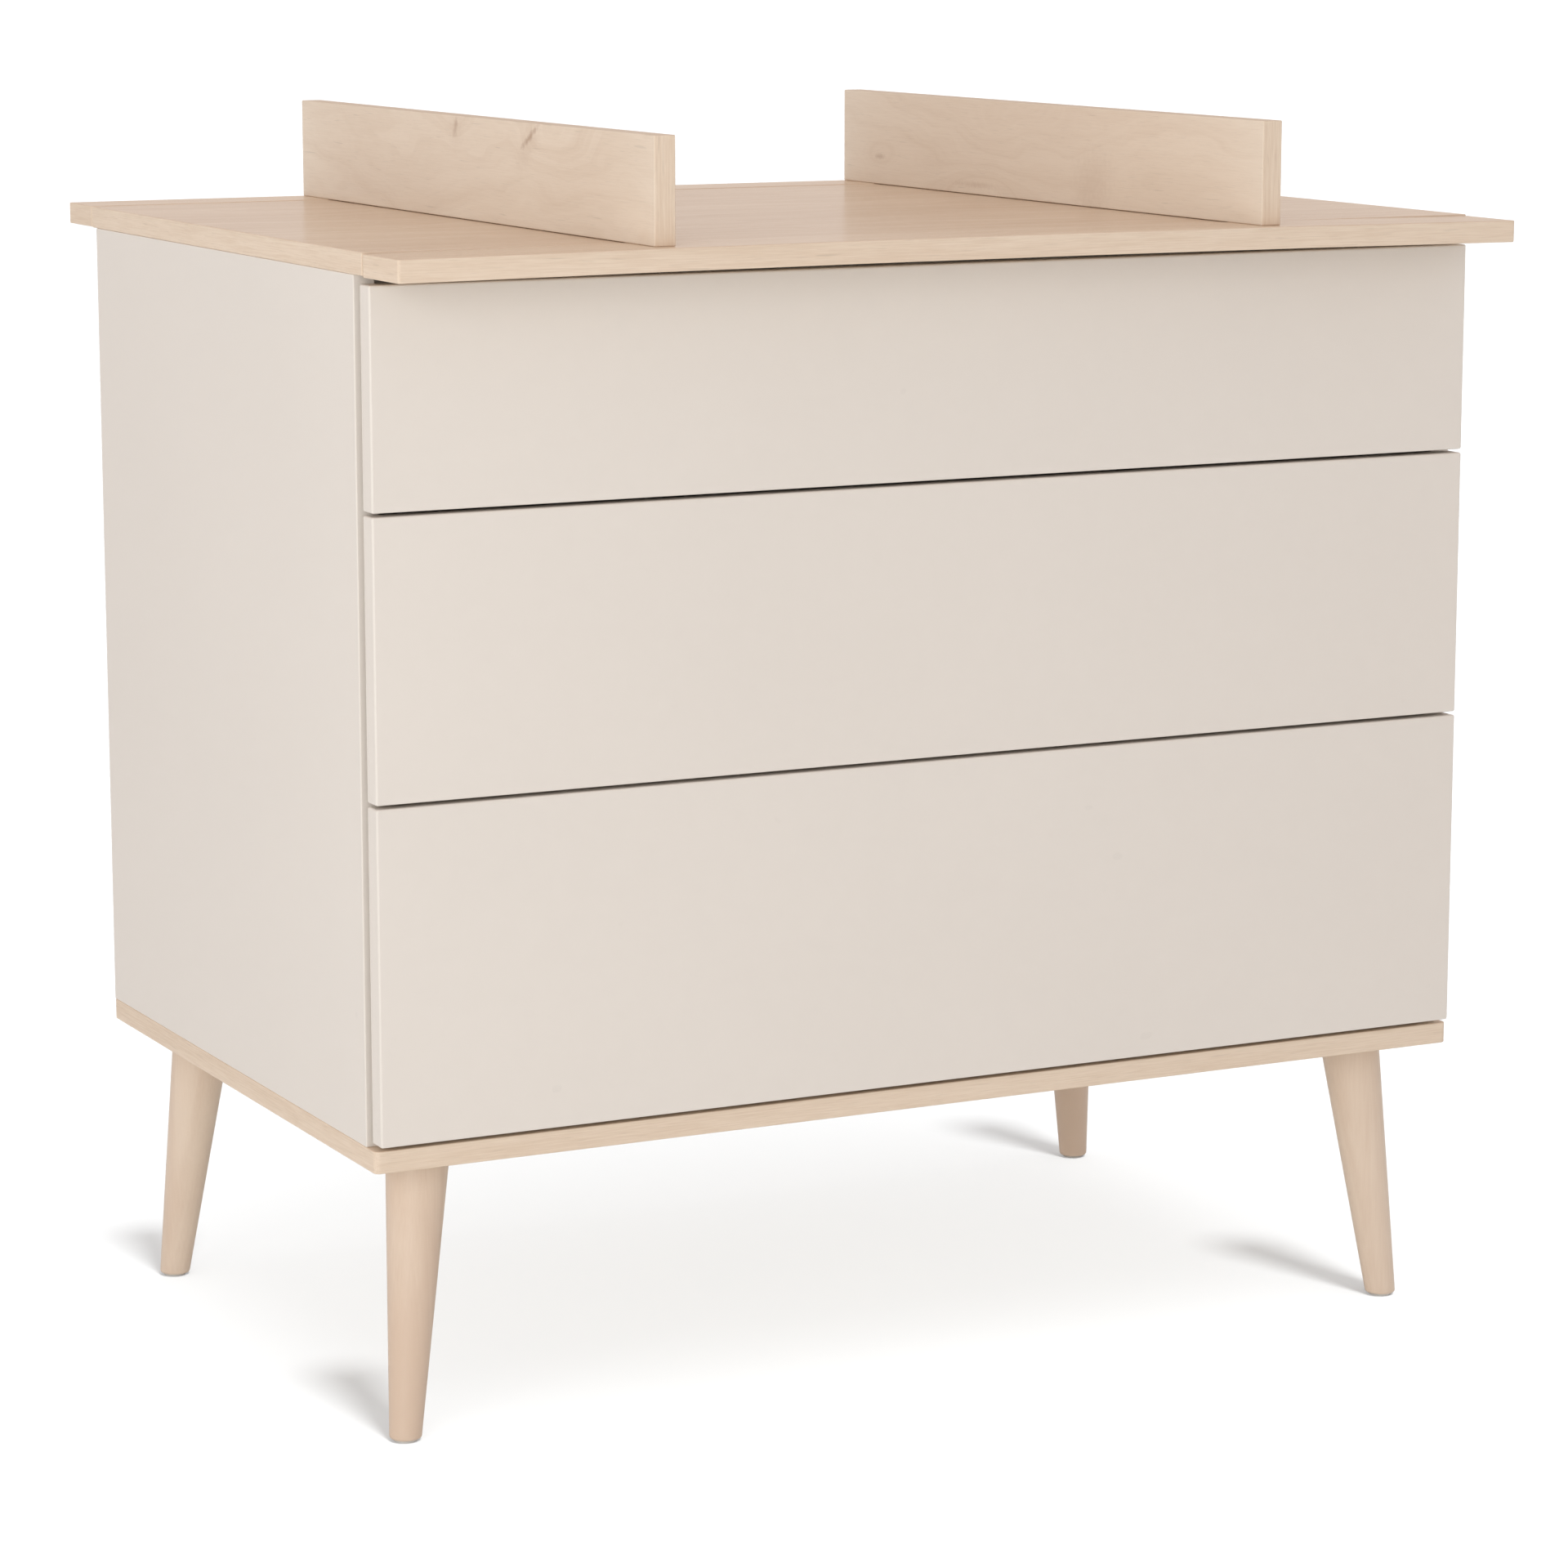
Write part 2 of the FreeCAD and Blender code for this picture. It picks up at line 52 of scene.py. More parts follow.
VENEER_PALE = (0.836, 0.735, 0.612)
VENEER_DEEP = (0.698, 0.572, 0.450)
# painted shade: the veneer again, darker and warmer, for the boards that lie flat, standing in for the weaker
# light from above
TOP_PALE_PAINTED_SHADE = (0.790, 0.637, 0.483)
TOP_DEEP_PAINTED_SHADE = (0.638, 0.472, 0.340)
BAND_PALE = (0.756, 0.626, 0.496)
BAND_DEEP = (0.670, 0.528, 0.400)
LEG_PALE = (0.725, 0.588, 0.462)
LEG_DEEP = (0.624, 0.471, 0.354)
KNOT = (0.350, 0.205, 0.130)
BOX_BOARD = (0.700, 0.680, 0.640)
HARDBOARD = (0.560, 0.500, 0.430)
ZINC = (0.560, 0.570, 0.580)
SCREW = (0.520, 0.515, 0.500)
BALL = (0.600, 0.605, 0.610)
LATCH_GREY = (0.330, 0.330, 0.320)
GLIDE_WHITE = (0.640, 0.620, 0.580)
FELT = (0.050, 0.047, 0.043)
FLOOR = (0.352, 0.362, 0.366)
FLOOR_GLOW = 0.32
FILL = (1.000, 0.930, 0.920)
FILL_STRENGTH = 0.77
REFLECTED = (0.860, 0.760, 0.690)
LAMP = (0.970, 1.000, 1.000)
WHITE = (1.0, 1.0, 1.0)

# ---------------------------------------------------------------- numbers that the materials share, in metres
AXES = {"X": 0, "Y": 1, "Z": 2}     # each axis's index
FACING = 0.7                        # part of the normal along an axis from which a face counts as facing it
RELIEF = {                          # metres that a bump height of 1 stands for
    "wood": 0.000012, "leg": 0.00004, "lacquer": 0.00003, "board": 0.00005,
    "metal": 0.00002, "plastic": 0.00006, "felt": 0.0003,
}
WOOD_ROUGHNESS = 0.20
WOOD_SHINE = 0.055
WOOD_EDGE = 0.0025                  # metres from an edge over which its wear fades
LACQUER_EDGE = 0.0022               # the same for lacquered boards
KNOT_RAGGED = 1.7                   # swing of a knot's ragged outline, in its own half sizes
LEG_SHADE_SPAN = (0.02, 0.21)             # heights between which the painted shade on a leg deepens towards the foot
FOOT_SCUFFS = (0.003, 0.016)        # heights over which the scuffs at the foot fade
MIX_NUMBERS = (2, 3, 0)             # sockets of the Mix node: first, second and result
MIX_COLOURS = (6, 7, 2)


# ---------------------------------------------------------------- node helpers
class Graph:
    """Builds one material's nodes; a method that makes a value returns its output socket."""

    def __init__(self, name):
        self.material = bpy.data.materials.new(name)
        self.material.use_nodes = True
        self.tree = self.material.node_tree
        self.shader = self.tree.nodes["Principled BSDF"]
        self.coordinates = self.tree.nodes.new("ShaderNodeTexCoord")

    def feed(self, socket, value):
        if isinstance(value, bpy.types.NodeSocket):
            self.tree.links.new(value, socket)
        elif isinstance(value, tuple) and len(value) == 3 and socket.type == "RGBA":
            socket.default_value = (*value, 1.0)
        else:
            socket.default_value = value

    def math(self, operation, first, second=0.0, third=0.0):
        node = self.tree.nodes.new("ShaderNodeMath")
        node.operation = operation
        for socket, value in zip(node.inputs, (first, second, third)):
            self.feed(socket, value)
        return node.outputs[0]

    def vary(self, pattern, amount, base):
        """Base plus amount times a pattern's swing about its middle of 0.5."""
        return self.math("MULTIPLY_ADD", self.math("SUBTRACT", pattern, 0.5), amount, base)

    def remap(self, value, low, high, to_low=0.0, to_high=1.0):
        """Smooth step of value from the range low..high to the range to_low..to_high."""
        node = self.tree.nodes.new("ShaderNodeMapRange")
        node.interpolation_type = "SMOOTHSTEP"
        for socket, number in zip(node.inputs, (value, low, high, to_low, to_high)):
            self.feed(socket, number)
        return node.outputs[0]

    def split(self, vector):
        node = self.tree.nodes.new("ShaderNodeSeparateXYZ")
        self.feed(node.inputs[0], vector)
        return list(node.outputs)

    def join(self, x, y, z):
        node = self.tree.nodes.new("ShaderNodeCombineXYZ")
        for socket, value in zip(node.inputs, (x, y, z)):
            self.feed(socket, value)
        return node.outputs[0]

    def stretch(self, vector, scale, shift=(0.0, 0.0, 0.0)):
        """Vector scaled along each axis, and shifted."""
        node = self.tree.nodes.new("ShaderNodeMapping")
        self.feed(node.inputs["Vector"], vector)
        node.inputs["Location"].default_value = shift
        node.inputs["Scale"].default_value = scale
        return node.outputs[0]

    def shifted(self, shift):
        """Object coordinates moved by shift, so that a piece shows its own part of a pattern."""
        return self.stretch(self.coordinates.outputs["Object"], (1, 1, 1), shift)

    def noise(self, vector, scale=1.0, detail=2.0, roughness=0.5, distortion=0.0):
        node = self.tree.nodes.new("ShaderNodeTexNoise")
        self.feed(node.inputs["Vector"], vector)
        node.inputs["Scale"].default_value = scale
        node.inputs["Detail"].default_value = detail
        node.inputs["Roughness"].default_value = roughness
        node.inputs["Distortion"].default_value = distortion
        return node.outputs[0]

    def mixed(self, kind, sockets, share, first, second):
        """Mix of the given kind, through the sockets for its first, its second and its result."""
        node = self.tree.nodes.new("ShaderNodeMix")
        node.data_type = kind
        self.feed(node.inputs[0], share)
        self.feed(node.inputs[sockets[0]], first)
        self.feed(node.inputs[sockets[1]], second)
        return node.outputs[sockets[2]]

    def mix(self, share, first, second):
        """Colour mix."""
        return self.mixed("RGBA", MIX_COLOURS, share, first, second)

    def blend(self, share, first, second):
        """Number mix."""
        return self.mixed("FLOAT", MIX_NUMBERS, share, first, second)

    def shade(self, colour, factor):
        """Colour made lighter or darker by a factor."""
        node = self.tree.nodes.new("ShaderNodeVectorMath")
        node.operation = "SCALE"
        self.feed(node.inputs[0], colour)
        self.feed(node.inputs["Scale"], factor)
        return node.outputs[0]

    def bump(self, height, depth):
        """Bump whose height of 1 stands for depth metres."""
        node = self.tree.nodes.new("ShaderNodeBump")
        node.inputs["Strength"].default_value = 1.0
        node.inputs["Distance"].default_value = depth
        self.feed(node.inputs["Height"], height)
        self.feed(self.shader.inputs["Normal"], node.outputs[0])

    def finish(self, colour, roughness, **constants):
        self.feed(self.shader.inputs["Base Color"], colour)
        self.feed(self.shader.inputs["Roughness"], roughness)
        for name, value in constants.items():
            self.shader.inputs[name.replace("_", " ")].default_value = value
        return self.material

    def edge_closeness(self, low, high, width):
        """1 at the edges of the box low..high, falling to 0 at that width from them."""
        nearest = []
        for place, start, end in zip(self.split(self.coordinates.outputs["Object"]), low, high):
            before = self.math("SUBTRACT", place, start)
            after = self.math("SUBTRACT", end, place)
            nearest.append(self.math("MINIMUM", before, after))
        smaller = self.math("MINIMUM", nearest[0], nearest[1])
        larger = self.math("MAXIMUM", nearest[0], nearest[1])
        second = self.math("MAXIMUM", smaller, self.math("MINIMUM", larger, nearest[2]))
        return self.remap(second, 0.0, width, 1.0, 0.0)


# ---------------------------------------------------------------- wood
def grain_vector(graph, along, across):
    """(along, across, depth) of the grain; banded end faces carry it along their own length.

    Also returns the mask of the narrow faces, which are banded.
    """
    place = graph.split(graph.coordinates.outputs["Object"])
    facing = [graph.math("ABSOLUTE", part) for part in graph.split(graph.coordinates.outputs["Normal"])]
    a, b = AXES[along], AXES[across]
    c = 3 - a - b
    end_face = graph.math("GREATER_THAN", facing[a], FACING)
    wide_face = graph.math("GREATER_THAN", facing[c], FACING)
    vector = graph.join(graph.blend(end_face, place[a], place[b]),
                        graph.blend(end_face, place[b], place[a]), place[c])
    return vector, graph.math("SUBTRACT", 1.0, wide_face)


def spot(graph, vector, along, across, length, height, lean=0.0):
    """Distance from a spot's centre, in its own half length and half height; lean slants it."""
    a, b, _ = graph.split(vector)
    rise = graph.math("SUBTRACT", b, across)
    run = graph.math("MULTIPLY_ADD", rise, -lean, graph.math("SUBTRACT", a, along))
    node = graph.tree.nodes.new("ShaderNodeVectorMath")
    node.operation = "LENGTH"
    offset = graph.join(graph.math("DIVIDE", run, length), graph.math("DIVIDE", rise, height), 0.0)
    graph.feed(node.inputs[0], offset)
    return node.outputs["Value"]


def knot_mask(graph, vector, knots):
    """Ragged dark smears where the knots are."""
    ragged = graph.noise(graph.stretch(vector, (200.0, 170.0, 0.0)), detail=3.0, roughness=0.6)
    mask = 0.0
    for *place, depth in knots:
        distance = graph.vary(ragged, KNOT_RAGGED, spot(graph, vector, *place))
        mask = graph.math("MAXIMUM", mask, graph.remap(distance, 0.0, 1.4, depth, 0.0))
    return mask


def wood(name, along, across, shift, box, pale, deep, tone_and_painted_shade, knots, swirls):
    """Pale birch-look board: flowing figure lines, fine fibres, short flecks, and knots if given.

    The scales are pattern cells per metre: along the grain, across it, and through the board.
    """
    graph = Graph(name)
    vector, narrow = grain_vector(graph, along, across)
    moved = graph.stretch(vector, (1, 1, 1), shift)
    wander = graph.noise(graph.stretch(moved, (3.2, 9.0, 9.0)), detail=3.0, roughness=0.55)
    phase = graph.math("MULTIPLY_ADD", wander, 1.9, graph.math("MULTIPLY", graph.split(vector)[1], 9.0))
    for *place, depth in swirls:
        phase = graph.math("ADD", phase, graph.remap(spot(graph, vector, *place), 0.0, 1.0, depth, 0.0))
    flow = graph.join(graph.math("MULTIPLY", phase, 5.5), shift[0], 0.0)
    figure = graph.noise(flow, detail=3.0, roughness=0.62)
    streaks = graph.noise(graph.stretch(moved, (1.2, 34.0, 34.0)), detail=4.0, roughness=0.6)
    clouds = graph.noise(graph.stretch(moved, (2.5, 7.0, 7.0), (3.1, 1.7, 0.0)), detail=2.0)
    fibres = graph.noise(graph.stretch(moved, (28.0, 900.0, 900.0)), detail=3.0, roughness=0.65)
    pores = graph.noise(graph.stretch(moved, (55.0, 1500.0, 1500.0), (7.0, 0.0, 2.0)), detail=1.0)
    dashes = graph.noise(graph.stretch(moved, (26.0, 420.0, 420.0), (2.0, 5.0, 1.0)), detail=1.0)
    # the board's tone offset; on the main top and the front strip it is painted shade
    share = graph.vary(figure, 1.22, 0.36 + tone_and_painted_shade)
    share = graph.vary(streaks, 0.45, share)
    share = graph.vary(clouds, 0.85, share)
    share = graph.vary(fibres, 0.55, share)
    colour = graph.mix(graph.remap(share, -0.25, 1.15), pale, deep)
    band_share = graph.vary(fibres, 1.5, streaks)
    band = graph.mix(graph.remap(band_share, 0.1, 0.95), BAND_PALE, BAND_DEEP)
    colour = graph.mix(narrow, colour, band)
    pore_mask = graph.remap(pores, 0.60, 0.78)
    dash_mask = graph.remap(dashes, 0.70, 0.80)
    colour = graph.shade(colour, graph.math("MULTIPLY_ADD", pore_mask, -0.08, 1.0))
    colour = graph.shade(colour, graph.math("MULTIPLY_ADD", dash_mask, -0.12, 1.0))
    if knots:
        colour = graph.mix(knot_mask(graph, vector, knots), colour, KNOT)
    closeness = graph.edge_closeness(*box, WOOD_EDGE)
    patches = graph.noise(graph.stretch(moved, (14.0, 14.0, 14.0)), detail=2.0)
    worn = graph.math("MULTIPLY", closeness, graph.remap(patches, 0.35, 0.7))
    colour = graph.mix(graph.math("MULTIPLY", worn, 0.35), colour, BAND_PALE)
    gloss = graph.vary(fibres, 0.12, WOOD_ROUGHNESS)
    gloss = graph.math("MULTIPLY_ADD", pore_mask, 0.08, gloss)
    gloss = graph.math("MULTIPLY_ADD", worn, 0.10, gloss)
    gloss = graph.math("MULTIPLY_ADD", narrow, 0.20, gloss)
    relief = graph.math("MULTIPLY_ADD", pore_mask, -0.8, graph.math("MULTIPLY", fibres, 0.6))
    graph.bump(relief, RELIEF["wood"])
    return graph.finish(colour, gloss, Specular_IOR_Level=WOOD_SHINE)


def leg_wood(name, shift, painted_shade):
    """Turned solid wood: grain up the leg, rings cut through by the taper; painted shade may darken it
    towards the foot.
    """
    graph = Graph(name)
    moved = graph.shifted(shift)
    bend = graph.noise(graph.stretch(moved, (6.0, 6.0, 2.2)), detail=2.0)
    x, y, z = graph.split(moved)
    radial = graph.vary(bend, 0.055, graph.math("ADD", x, y))
    rings = graph.noise(graph.join(graph.math("MULTIPLY", radial, 90.0), 0.0, graph.math("MULTIPLY", z, 1.5)),
                        detail=3.0, roughness=0.55)
    fibres = graph.noise(graph.stretch(moved, (800.0, 800.0, 22.0)), detail=3.0, roughness=0.6)
    clouds = graph.noise(graph.stretch(moved, (22.0, 22.0, 7.0)), detail=2.0)
    share = graph.vary(clouds, 1.0, rings)
    share = graph.vary(fibres, 0.40, share)
    height = graph.split(graph.coordinates.outputs["Object"])[2]
    # painted shade: the tone deepens towards the foot, as where the leg stands in shade
    share = graph.math("ADD", share, graph.remap(height, *LEG_SHADE_SPAN, painted_shade, 0.0))
    colour = graph.mix(graph.remap(share, 0.1, 0.95), LEG_PALE, LEG_DEEP)
    scuffs = graph.noise(graph.stretch(moved, (60.0, 60.0, 60.0)), detail=2.0)
    foot = graph.remap(height, *FOOT_SCUFFS, 1.0, 0.0)
    worn = graph.math("MULTIPLY", foot, graph.remap(scuffs, 0.4, 0.7))
    colour = graph.mix(graph.math("MULTIPLY", worn, 0.30), colour, LEG_DEEP)
    graph.bump(graph.math("MULTIPLY_ADD", rings, 0.4, fibres), RELIEF["leg"])
    gloss = graph.vary(fibres, 0.14, 0.40)
    return graph.finish(colour, graph.math("MULTIPLY_ADD", worn, 0.15, gloss), IOR=1.47)


# ---------------------------------------------------------------- lacquer, boards, metal, plastic, felt
def lacquer(name, box, shift):
    """Satin lacquer with a faint orange peel, slow tone drift and slightly rubbed edges."""
    graph = Graph(name)
    moved = graph.shifted(shift)
    drift = graph.noise(moved, scale=3.5, detail=2.0)
    mottle = graph.noise(moved, scale=60.0, detail=3.0)
    peel = graph.noise(moved, scale=420.0, detail=2.0, roughness=0.4)
    specks = graph.remap(graph.noise(moved, scale=70.0, detail=0.0), 0.86, 0.92)
    tone = graph.vary(drift, 0.035, 1.0)
    tone = graph.vary(mottle, 0.018, tone)
    tone = graph.math("MULTIPLY_ADD", specks, -0.03, tone)
    closeness = graph.edge_closeness(*box, LACQUER_EDGE)
    tone = graph.math("MULTIPLY_ADD", closeness, 0.035, tone)
    colour = graph.shade(LACQUER, tone)
    gloss = graph.vary(mottle, 0.10, 0.46)
    gloss = graph.math("MULTIPLY_ADD", closeness, -0.05, gloss)
    graph.bump(graph.math("MULTIPLY_ADD", specks, 0.5, peel), RELIEF["lacquer"])
    return graph.finish(colour, gloss, IOR=1.48)


def faced_board(name, tint, shift, roughness, fleck):
    """Plain faced board, such as a drawer side or the back panel: paper-like grain, faint flecks."""
    graph = Graph(name)
    moved = graph.shifted(shift)
    paper = graph.noise(graph.stretch(moved, (260.0, 260.0, 260.0)), detail=4.0, roughness=0.7)
    drift = graph.noise(moved, scale=4.0, detail=2.0)
    flecks = graph.remap(graph.noise(moved, scale=330.0, detail=1.0), 0.64, 0.74)
    tone = graph.vary(paper, 0.07, 1.0)
    tone = graph.vary(drift, 0.05, tone)
    tone = graph.math("MULTIPLY_ADD", flecks, -fleck, tone)
    graph.bump(paper, RELIEF["board"])
    gloss = graph.vary(paper, 0.15, roughness)
    return graph.finish(graph.shade(tint, tone), gloss, IOR=1.46)


def metal(name, tint, shift, roughness, grain):
    """Plated steel: roll marks along the grain, faint spangle and dull patches."""
    graph = Graph(name)
    moved = graph.shifted(shift)
    marks = graph.noise(graph.stretch(moved, grain), detail=3.0, roughness=0.6)
    spangle = graph.noise(moved, scale=160.0, detail=2.0)
    patches = graph.noise(moved, scale=18.0, detail=3.0)
    tone = graph.vary(marks, 0.22, 1.0)
    tone = graph.vary(spangle, 0.16, tone)
    gloss = graph.vary(patches, 0.22, roughness)
    gloss = graph.vary(marks, 0.12, gloss)
    graph.bump(marks, RELIEF["metal"])
    return graph.finish(graph.shade(tint, tone), gloss, Metallic=1.0)


def plastic(name, tint, shift, roughness):
    """Moulded plastic: spark-eroded texture, slight tone drift."""
    graph = Graph(name)
    moved = graph.shifted(shift)
    texture = graph.noise(moved, scale=900.0, detail=3.0, roughness=0.6)
    drift = graph.noise(moved, scale=45.0, detail=2.0)
    tone = graph.vary(drift, 0.12, 1.0)
    graph.bump(texture, RELIEF["plastic"])
    gloss = graph.vary(texture, 0.2, roughness)
    return graph.finish(graph.shade(tint, tone), gloss, IOR=1.49)


def felt(name, shift):
    """Pressed felt: matted fibres with a soft sheen."""
    graph = Graph(name)
    moved = graph.shifted(shift)
    fibres = graph.noise(moved, scale=700.0, detail=5.0, roughness=0.75, distortion=1.5)
    clumps = graph.noise(moved, scale=120.0, detail=2.0)
    tone = graph.vary(fibres, 1.1, 1.0)
    tone = graph.vary(clumps, 0.4, tone)
    graph.bump(fibres, RELIEF["felt"])
    return graph.finish(graph.shade(FELT, tone), 0.95, Sheen_Weight=0.4, Sheen_Roughness=0.5)


# ---------------------------------------------------------------- materials of the CAD nodes
WOOD_BOARDS = {                     # grain, the other wide direction, how deep the tone is; the deeper main top and front strip carry painted shade
    "main_top": ("X", "Y", 0.25),
    "front_extension_strip": ("X", "Y", 0.15),
    "rear_extension_strip": ("X", "Y", 0.0),
    "base_board": ("X", "Y", 0.0),
    "left_upright": ("Y", "Z", -0.05),
    "right_upright": ("Y", "Z", -0.15),
}
KNOTS = {                           # along the grain, across it, half length, half height, lean, depth
    "left_upright": [(0.027, 1.028, 0.005, 0.009, -0.3, 0.46), (0.026, 1.025, 0.016, 0.016, 0.0, 0.08),
                     (-0.124, 1.025, 0.007, 0.011, -1.6, 0.56), (-0.120, 1.018, 0.018, 0.022, -0.8, 0.11)],
    "right_upright": [(0.306, 0.978, 0.011, 0.003, 0.0, 0.32), (0.118, 0.961, 0.044, 0.003, 0.0, 0.22),
                      (-0.088, 0.975, 0.034, 0.026, 0.0, 0.12)],
}
SWIRLS = {                          # the same, with how far they push the figure lines
    "left_upright": [(-0.175, 1.032, 0.110, 0.050, 0.0, 0.8), (0.027, 1.040, 0.050, 0.035, 0.0, 0.4)],
    "right_upright": [(0.306, 0.978, 0.055, 0.022, 0.0, 0.3), (0.100, 0.957, 0.130, 0.030, 0.0, -0.7)],
}
LEGS = ("front_left_leg", "front_right_leg", "rear_left_leg", "rear_right_leg")
LEG_PAINTED_SHADE = {                      # painted shade: how much deeper a leg's tone is painted towards the foot
    "front_left_leg": 0.6, "rear_right_leg": 0.5,
}


def dress(node, material):
    mesh = frame["nodes"][node].data
    mesh.materials.clear()
    mesh.materials.append(material)


def shift_for(index):
    """A different place in the pattern for each board, so that no two look alike."""
    return (index * 1.37, index * 0.61, index * 0.23)


def corners(node):
    """Low and high corner of a node's box."""
    low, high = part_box(node)
    return tuple(low), tuple(high)


def dress_frame():
    """Every CAD node gets its material; returns the shared ones by slot."""
    for index, (node, (along, across, tone_and_painted_shade)) in enumerate(WOOD_BOARDS.items()):
        # boards that lie flat take the top tones, which carry painted shade from above
        tones = (VENEER_PALE, VENEER_DEEP) if across == "Z" else (TOP_PALE_PAINTED_SHADE, TOP_DEEP_PAINTED_SHADE)
        dress(node, wood(node + "_wood", along, across, shift_for(index + 1), corners(node), *tones, tone_and_painted_shade,
                         KNOTS.get(node, ()), SWIRLS.get(node, ())))
    slots = {part["node"]: part["material_slot"] for part in frame["record"]["subparts"]}
    shared = {
        "zinc_steel": metal("zinc_steel", ZINC, shift_for(1), roughness=0.34, grain=(400.0, 30.0, 400.0)),
        "screw_steel": metal("screw_steel", SCREW, shift_for(2), roughness=0.32, grain=(300.0, 300.0, 60.0)),
        "latch_plastic": plastic("latch_plastic", LATCH_GREY, shift_for(3), roughness=0.50),
        "glide_plastic": plastic("glide_plastic", GLIDE_WHITE, shift_for(4), roughness=0.45),
        "felt": felt("felt", shift_for(5)),
        "pale_board": faced_board("pale_board", BOX_BOARD, shift_for(6), roughness=0.55, fleck=0.03),
        "backing_board": faced_board("backing_board", HARDBOARD, shift_for(7), roughness=0.62, fleck=0.12),
    }
    for index, (node, slot) in enumerate(sorted(slots.items())):
        if slot in shared:
            dress(node, shared[slot])
        elif slot == "stone_lacquer":
            dress(node, lacquer(node + "_lacquer", corners(node), shift_for(index)))
        elif slot == "birch_solid":
            dress(node, leg_wood(node + "_wood", shift_for(index), LEG_PAINTED_SHADE.get(node, 0.0)))
        elif node not in WOOD_BOARDS:
            raise ValueError(node + " has no material")
    return shared


# ---------------------------------------------------------------- runner hardware
DRAWERS = ("upper", "middle", "lower")
BALL_R = 0.0018
BALL_PITCH = 0.017
BALLS_IN_ROW = 13
BALL_SEGMENTS = (12, 8)
CAGE_SHEET = 0.0005
CAGE_BEND = 0.0003
CAGE_WINDOW = 0.0019                # half a window, along the cage and across it
STAGES = (                          # cage web, flange reach, row height, ball depth, first ball's place
    (0.00205, 0.0082, 0.01935, 0.0057, 0.262),      # between the cabinet's rail and the middle one
    (0.00485, 0.0097, 0.01425, 0.0074, 0.014),      # between the middle rail and the drawer's
)
HEAD_RINGS = (                      # radius, height and depth of the cross recess, as shares
    (0.30, 1.00, 0.55), (0.58, 0.97, 0.45), (0.74, 0.88, 0.0),
    (0.90, 0.62, 0.0), (1.0, 0.28, 0.0), (1.0, 0.0, 0.0),
)
HEAD_SEGMENTS = 24
RECESS_ARMS = 4
RECESS_FLOOR = 0.4                  # height at the middle of the recess, as a share of the head's
SCREWS = {                          # web face, radius, height, way it faces, places along the runner
    "drawer": (0.0115, 0.0031, 0.0017, -1.0, (0.035, 0.160, 0.320, 0.465)),
    "cabinet": (0.0012, 0.0030, 0.0004, 1.0, (0.037, 0.224, 0.448)),
}


def runner_places(drawer, side):
    """Function from (depth from the panel, place along the runner, height) to a point."""
    low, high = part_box(f"{drawer}_{side}_cabinet_rail")
    panel, inwards = (low[0], 1.0) if side == "left" else (high[0], -1.0)
    middle = (low[2] + high[2]) / 2
    return lambda depth, along, height: Vector((panel + inwards * depth, low[1] + along, middle + height))


def add_piece(name, bm, material, body, smooth):
    """Piece made from bm, riding on a body of the frame."""
    mesh = bpy.data.meshes.new(name)
    bmesh.ops.recalc_face_normals(bm, faces=bm.faces)
    for face in bm.faces:
        face.smooth = smooth
    bm.to_mesh(mesh)
    bm.free()
    mesh.materials.append(material)
    piece = bpy.data.objects.new(name, mesh)
    bpy.context.scene.collection.objects.link(piece)
    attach(piece, body)
    return piece


def add_cage(bm, place, web, reach, row, ball, first):
    """Bent strip, open at each ball: down one flange, across the web and along the other flange."""
    half = [(reach, row), (ball + CAGE_WINDOW, row), (ball - CAGE_WINDOW, row),
            (web + CAGE_BEND, row), (web, row - CAGE_BEND)]
    profile = half + [(depth, -height) for depth, height in reversed(half)]
    windows = (1, len(profile) - 3)
    cuts = [first - BALL_PITCH / 2]
    for index in range(BALLS_IN_ROW):
        centre = first + index * BALL_PITCH
        cuts += [centre - CAGE_WINDOW, centre + CAGE_WINDOW]
    cuts.append(first + (BALLS_IN_ROW - 0.5) * BALL_PITCH)
    rows = [[bm.verts.new(place(depth, along, height)) for depth, height in profile] for along in cuts]
    for step, (near, far) in enumerate(zip(rows, rows[1:])):
        for index in range(len(profile) - 1):
            if step % 2 == 1 and index in windows:
                continue
            bm.faces.new((near[index], near[index + 1], far[index + 1], far[index]))


def add_balls(bm, place, row, ball, first):
    """The upper and the lower row of one stage."""
    around, rings = BALL_SEGMENTS
    for index in range(BALLS_IN_ROW):
        for height in (row, -row):
            centre = place(ball, first + index * BALL_PITCH, height)
            bmesh.ops.create_uvsphere(bm, u_segments=around, v_segments=rings, radius=BALL_R,
                                      matrix=Matrix.Translation(centre))


def add_screw_head(bm, place, web, radius, height, turn, along):
    """Domed head with a cross recess, standing on the runner's web."""
    def point(out, angle, rise):
        return place(web + turn * rise, along + out * math.sin(angle), out * math.cos(angle))

    rings = []
    for share, rise, recess in HEAD_RINGS:
        ring = []
        for index in range(HEAD_SEGMENTS):
            angle = math.tau * index / HEAD_SEGMENTS
            deep = recess if index % (HEAD_SEGMENTS // RECESS_ARMS) == 0 else 0.0
            ring.append(bm.verts.new(point(radius * share, angle, height * (rise - deep))))
        rings.append(ring)
    middle = bm.verts.new(point(0.0, 0.0, height * RECESS_FLOOR))
    for index in range(HEAD_SEGMENTS):
        after = (index + 1) % HEAD_SEGMENTS
        bm.faces.new((middle, rings[0][index], rings[0][after]))
        for inner, outer in zip(rings, rings[1:]):
            bm.faces.new((inner[index], outer[index], outer[after], inner[after]))
    bm.faces.new(rings[-1])


